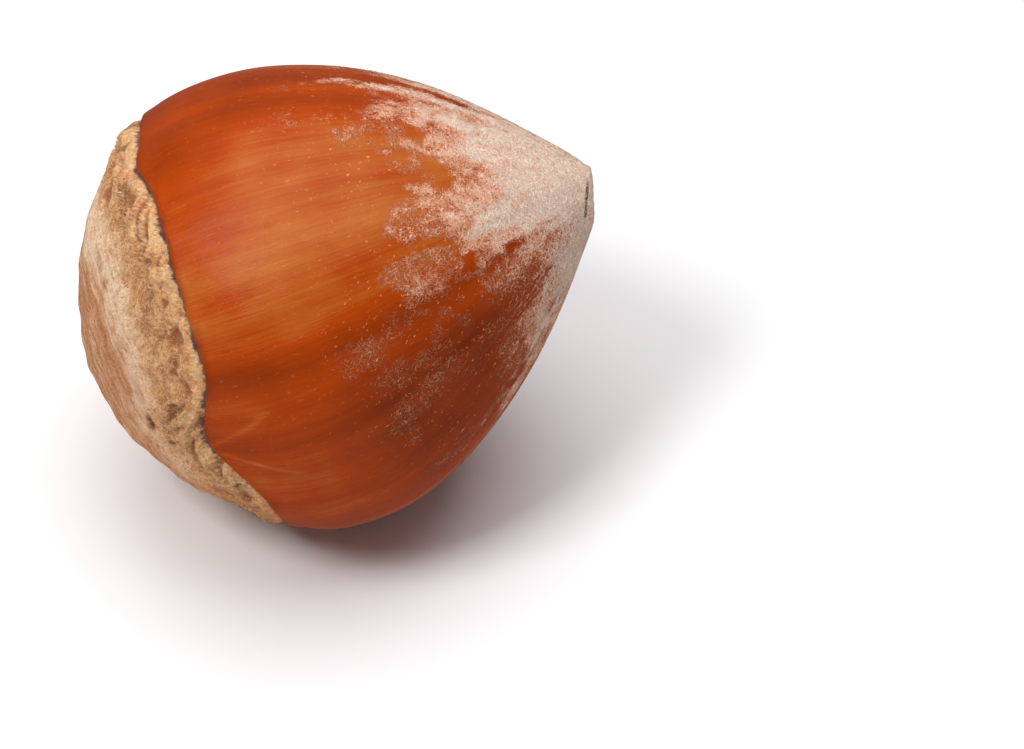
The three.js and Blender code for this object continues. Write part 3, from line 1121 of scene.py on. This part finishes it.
class HAZELNUT_OT_skin(bpy.types.Operator):
    """Builds the skin of the whole nut, with its scar, shell and cut tip."""

    bl_idname = "hazelnut.skin"
    bl_label = "Nut skin"

    def execute(self, context):
        angle = np.arange(ROUND_STEPS) * TAU / ROUND_STEPS
        distance = row_distances(edge_distance(angle))
        rings = len(distance) - 2
        angle = np.broadcast_to(angle, distance.shape)
        distance = np.concatenate([[0], distance[1:-1].ravel(), [SKIN_LENGTH]])
        angle = np.concatenate([[0], angle[1:-1].ravel(), [0]])
        points, _, known = skin(distance, angle, context.scene.hazelnut_shell.relief)
        SETTLED["shift"] = settle_shift(points)
        points = points + SETTLED["shift"]
        points[:, 2] = np.maximum(points[:, 2], 0)
        faces = grid_faces(rings, ROUND_STEPS)
        mesh = make_mesh("nut_skin", points, faces, 3)
        write_uv(mesh, skin_uv(faces, distance, angle))

        place_round = np.stack([np.cos(angle), np.sin(angle), distance], axis=-1)
        write_attribute(mesh, "place", known["place"], "FLOAT_VECTOR")
        write_attribute(mesh, "round", place_round, "FLOAT_VECTOR")
        for name, values in skin_values(known, distance, angle).items():
            write_attribute(mesh, name, values)
        material = skin_material(context.scene.hazelnut_shell)
        piece = add_piece(context, "nut_skin", mesh, material)
        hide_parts(NUT_NODE)
        return {"FINISHED"}


def scatter(random, density, low, high, start, end):
    """Even random places on the skin, so many to a square millimetre: distance and angle."""
    area = (high - low) * NUT_WIDTH / 2 * math.radians(end - start)
    distance = random.uniform(low, high, int(density * area))
    _, out, _, _ = outline_at(distance)
    distance = distance[random.uniform(0, NUT_WIDTH / 2, len(distance)) < out]
    return distance, np.radians(random.uniform(start, end, len(distance)))


def ribbons(random, distance, angle, size, lift, curl, lean):
    """Curved hairs that lie along the skin, as flat ribbons that narrow to their ends."""
    length, width = size
    count = len(distance)
    heading = random.normal(0, lean, count)
    bend = random.normal(0, curl, count)
    reach = length * random.uniform(*HAIR_REACH, count)
    step = reach / HAIR_JOINTS
    _, out, _, _ = outline_at(distance)
    round_per_mm = 1 / np.maximum(out, 0.6)
    spots = []
    at_distance, at_angle, way = distance.copy(), angle.copy(), heading - bend / 2
    for joint in range(HAIR_JOINTS + 1):
        points, normals, _ = skin(np.clip(at_distance, 0, SKIN_LENGTH), at_angle)
        height = lift * (0.25 + math.sin(math.pi * (0.15 + 0.7 * joint / HAIR_JOINTS)))
        raised = height * random.uniform(0.5, 1.5, count)
        spots.append((points + normals * raised[:, None], normals))
        at_distance = at_distance + np.cos(way) * step
        at_angle = at_angle + np.sin(way) * step * round_per_mm
        way = way + bend / HAIR_JOINTS
    centres = np.stack([points for points, _ in spots], axis=1)
    normals = np.stack([normal for _, normal in spots], axis=1)
    forward = np.gradient(centres, axis=1)
    side = np.cross(forward, normals)
    side /= np.maximum(np.linalg.norm(side, axis=2, keepdims=True), 1e-9)
    share = np.linspace(0, 1, HAIR_JOINTS + 1)
    half = width / 2 * (1 - share**2 * HAIR_TAPER) * (0.6 + 0.4 * smoothstep(share, 0, 0.2))
    half = half[None, :, None] * random.uniform(*HAIR_WIDTHS, count)[:, None, None]
    side = side + normals * random.uniform(-HAIR_TILT, HAIR_TILT, count)[:, None, None]
    return np.stack([centres - side * half, centres + side * half], axis=2), share


def fur_mesh(name, edges, share, tone):
    """A mesh of ribbons from their edge points, with each one's tone and the share along it."""
    count, joints = edges.shape[:2]
    points = edges.reshape(-1, 3) + SETTLED["shift"]
    points[:, 2] = np.maximum(points[:, 2], 0)
    start = (np.arange(count)[:, None] * joints + np.arange(joints - 1)).ravel() * 2
    faces = np.stack([start, start + 1, start + 3, start + 2], axis=1)
    mesh = make_mesh(name, points, faces, 4)
    tones = np.repeat(tone, joints * 2)
    shares = np.tile(np.repeat(share, 2), count)
    write_attribute(mesh, "tone", tones)
    write_attribute(mesh, "share", shares)
    sides = np.tile(np.array([-0.004, 0.004]), count * joints)
    corners = np.stack([tones * 0.96 + 0.02 + sides, shares * 0.96 + 0.02], axis=1)
    write_uv(mesh, corners[faces])
    return mesh


def hair_chance(distance, angle, cover, dull):
    """How likely a hair is at a place: less where the down is thin, worn or cut off."""
    along, out, _, _ = outline_at(distance)
    place = place_on(along, out, angle)
    clump = 0.22 * SKIN_NOISE.at(place + 2, 0.3) + 0.2 * SKIN_NOISE.at(place, 0.14)
    clump = clump * (1 - 0.6 * dull)
    chance = smoothstep(cover + clump, 0.05, 1.25) * smoothstep(cover, 0.03, 0.25)
    cut, ring = tip_known(distance, angle)
    chance = chance * smoothstep(ring, 0.5, 0.05) * (0.15 + 0.85 * smoothstep(-cut, -0.2, 0.2))
    return chance * (1 - 0.9 * tip_stains(along, place))


class HAZELNUT_OT_down(bpy.types.Operator):
    """Lays the short curled hairs of the down, in four quarters round the nut."""

    bl_idname = "hazelnut.down"
    bl_label = "Down"

    def execute(self, context):
        down = context.scene.hazelnut_down
        stops = [(0.0, HAIR_DARKEST), (0.5, down.edge), (0.95, down.tip)]
        material = fur_material("hazelnut_down", stops)
        for index, (name, start, end) in enumerate(QUARTERS):
            random = np.random.default_rng(HAIR_SEED + index)
            mesh = self.quarter(random, down, name, start, end)
            add_piece(context, name, mesh, material)
        return {"FINISHED"}

    def quarter(self, random, down, name, start, end):
        """The mesh of the hairs between two angles."""
        low = skin_distance(DOWN_FROM)
        distance, angle = scatter(random, down.density, low, SKIN_LENGTH, start, end)
        along, out, _, _ = outline_at(distance)
        cover = down_cover(along, angle, place_on(along, out, angle))
        dull = down_dullness(angle) * (1 - smoothstep(cover, 0.5, 1.1))
        chance = hair_chance(distance, angle, cover, dull)
        kept = np.flatnonzero(random.random(len(distance)) < chance)
        matted = smoothstep(cover[kept], 0.2, 1.3)
        size = (down.length / MM * (0.6 + 0.4 * matted), down.width / MM)
        edges, share = ribbons(random, distance[kept], angle[kept], size, **HAIR_LIE)
        spread = random.uniform(-0.2, 0.25, len(kept))
        # hairs far from the tip are more orange; where the down is dull they are darker too,
        # partly as painted shadow
        loose = 0.2 * (1 - smoothstep(along[kept], 15.5, 18)) + 0.15 * dull[kept]
        tone = np.clip(matted * 0.75 + 0.12 + spread - loose, 0, 1)
        return fur_mesh(name, edges, share, tone)


class HAZELNUT_OT_fibres(bpy.types.Operator):
    """Lays the torn fibres on the rough part of the scar."""

    bl_idname = "hazelnut.fibres"
    bl_label = "Scar fibres"

    def execute(self, context):
        down = context.scene.hazelnut_down
        random = np.random.default_rng(FIBRE_SEED)
        density = down.fibre_density
        distance, angle = scatter(random, density, FIBRES_FROM, FIBRES_TO, 0, 360)
        beside = distance - edge_distance(angle)
        along, out, _, _ = outline_at(distance)
        place = place_on(along, out, angle)
        sunk = np.maximum(hollowed(place, PITS_ROUND)[1], hollowed(place, HOLLOWS_ROUND)[1])
        chance = smoothstep(-beside, 0.1, 0.4) * smoothstep(-beside, 4.2, 1.2) * (1 - sunk)
        kept = np.flatnonzero(random.random(len(distance)) < chance)
        edges, share = ribbons(random, distance[kept], angle[kept], FIBRE_SIZE, **FIBRE_LIE)
        tone = random.random(len(kept))
        stops = [(0.0, FIBRE_DARKEST), (0.5, down.fibre), (1.0, FIBRE_PALEST)]
        material = fur_material("hazelnut_fibre", stops)
        mesh = fur_mesh("scar_fibres", edges, share, tone)
        add_piece(context, "scar_fibres", mesh, material)
        return {"FINISHED"}


# The stage, in millimetres, with the nut's middle as the aim
FLOOR_SIZE = 900
FLOOR_FINISH = {"Base Color": (0.9, 0.9, 0.915, 1), "Roughness": 0.9, "Specular IOR Level": 0.1}
WORLD_STRENGTH = 0.15
CAMERA_TURN = math.radians(-8.95)
CAMERA_RISE = math.radians(45)
CAMERA_AWAY = 205
CAMERA_LENS = 179.0
CAMERA_SENSOR = 36
CAMERA_CLIP = 0.01  # in metres
NUT_IN_PICTURE = (338.2, 289.4)
PICTURE = (1024, 749)
PIXELS_PER_MM = 24.84
# Lights: turn and rise in degrees, distance, width, height, power in watts
LIGHTS = [
    ("light_above", 165, 79, 420, 420, 420, 1.64),
    ("light_left", -64, 56, 380, 120, 120, 0.82),
]


def direction(turn, rise):
    """From the nut, a turn to the right of -Y and a rise above level."""
    return Vector((
        math.sin(turn) * math.cos(rise),
        -math.cos(turn) * math.cos(rise),
        math.sin(rise),
    ))


class HAZELNUT_OT_stage(bpy.types.Operator):
    """Sets the pale floor, the soft lights and the camera."""

    bl_idname = "hazelnut.stage"
    bl_label = "Stage"

    def execute(self, context):
        self.floor(context)
        middle = (NUT_LOW + NUT_HIGH) / 2
        for name, turn, rise, away, width, height, power in LIGHTS:
            self.light(context, name, middle, turn, rise, away, (width, height), power)
        self.world(context)
        self.camera(context, middle)
        return {"FINISHED"}

    def floor(self, context):
        half = FLOOR_SIZE / 2
        corners = half * np.array([(-1, -1, 0), (1, -1, 0), (1, 1, 0), (-1, 1, 0)])
        mesh = make_mesh("floor", corners, np.array([[0, 1, 2, 3]]), 4)
        mesh.materials.append(Sheet("floor").finish(FLOOR_FINISH))
        floor = bpy.data.objects.new("floor", mesh)
        context.scene.collection.objects.link(floor)
        floor.visible_glossy = False

    def light(self, context, name, aim, turn, rise, away, size, power):
        data = bpy.data.lights.new(name, "AREA")
        data.shape = "RECTANGLE"
        data.size = size[0] * MM
        data.size_y = size[1] * MM
        data.energy = power
        lamp = bpy.data.objects.new(name, data)
        context.scene.collection.objects.link(lamp)
        way = direction(math.radians(turn), math.radians(rise))
        lamp.location = aim + way * away * MM
        lamp.rotation_euler = way.to_track_quat("Z", "Y").to_euler()

    def world(self, context):
        world = bpy.data.worlds.new("world")
        world.use_nodes = True
        background = world.node_tree.nodes["Background"]
        background.inputs["Color"].default_value = (1, 1, 1, 1)
        background.inputs["Strength"].default_value = WORLD_STRENGTH
        context.scene.world = world

    def camera(self, context, middle):
        data = bpy.data.cameras.new("camera")
        data.lens = CAMERA_LENS
        data.sensor_width = CAMERA_SENSOR
        data.clip_start = CAMERA_CLIP
        camera = bpy.data.objects.new("camera", data)
        context.scene.collection.objects.link(camera)
        toward = direction(CAMERA_TURN, CAMERA_RISE)
        right = Vector((math.cos(CAMERA_TURN), math.sin(CAMERA_TURN), 0))
        up = toward.cross(right)
        camera.location = middle + toward * CAMERA_AWAY * MM
        aside = (PICTURE[0] / 2 - NUT_IN_PICTURE[0]) / PIXELS_PER_MM
        below = (PICTURE[1] / 2 - NUT_IN_PICTURE[1]) / PIXELS_PER_MM
        aim = middle + (right * aside - up * below) * MM
        back = (camera.location - aim).normalized()
        side = up.cross(back).normalized()
        camera.rotation_euler = Matrix((side, back.cross(side), back)).transposed().to_euler()
        context.scene.camera = camera
        context.scene.view_settings.view_transform = "Standard"
        context.scene.view_settings.look = "None"


class HAZELNUT_PT_panel(bpy.types.Panel):
    """Lists the nut's sizes and colours, and the steps that build it."""

    bl_idname = "HAZELNUT_PT_panel"
    bl_label = "Hazelnut"
    bl_space_type = "VIEW_3D"
    bl_region_type = "UI"
    bl_category = "Hazelnut"

    def draw(self, context):
        for group in (context.scene.hazelnut_shell, context.scene.hazelnut_down):
            box = self.layout.box()
            for name in group.__annotations__:
                box.prop(group, name)
        for operator in OPERATORS:
            self.layout.operator(operator.bl_idname)


OPERATORS = (HAZELNUT_OT_skin, HAZELNUT_OT_down, HAZELNUT_OT_fibres, HAZELNUT_OT_stage)
CLASSES = (HazelnutShell, HazelnutDown, *OPERATORS, HAZELNUT_PT_panel)


def register():
    for made in CLASSES:
        bpy.utils.register_class(made)
    bpy.types.Scene.hazelnut_shell = bpy.props.PointerProperty(type=HazelnutShell)
    bpy.types.Scene.hazelnut_down = bpy.props.PointerProperty(type=HazelnutDown)


def unregister():
    del bpy.types.Scene.hazelnut_down
    del bpy.types.Scene.hazelnut_shell
    for made in reversed(CLASSES):
        bpy.utils.unregister_class(made)


def main():
    register()
    bpy.ops.hazelnut.skin()
    bpy.ops.hazelnut.down()
    bpy.ops.hazelnut.fibres()
    bpy.ops.hazelnut.stage()


if __name__ == "__main__":
    main()
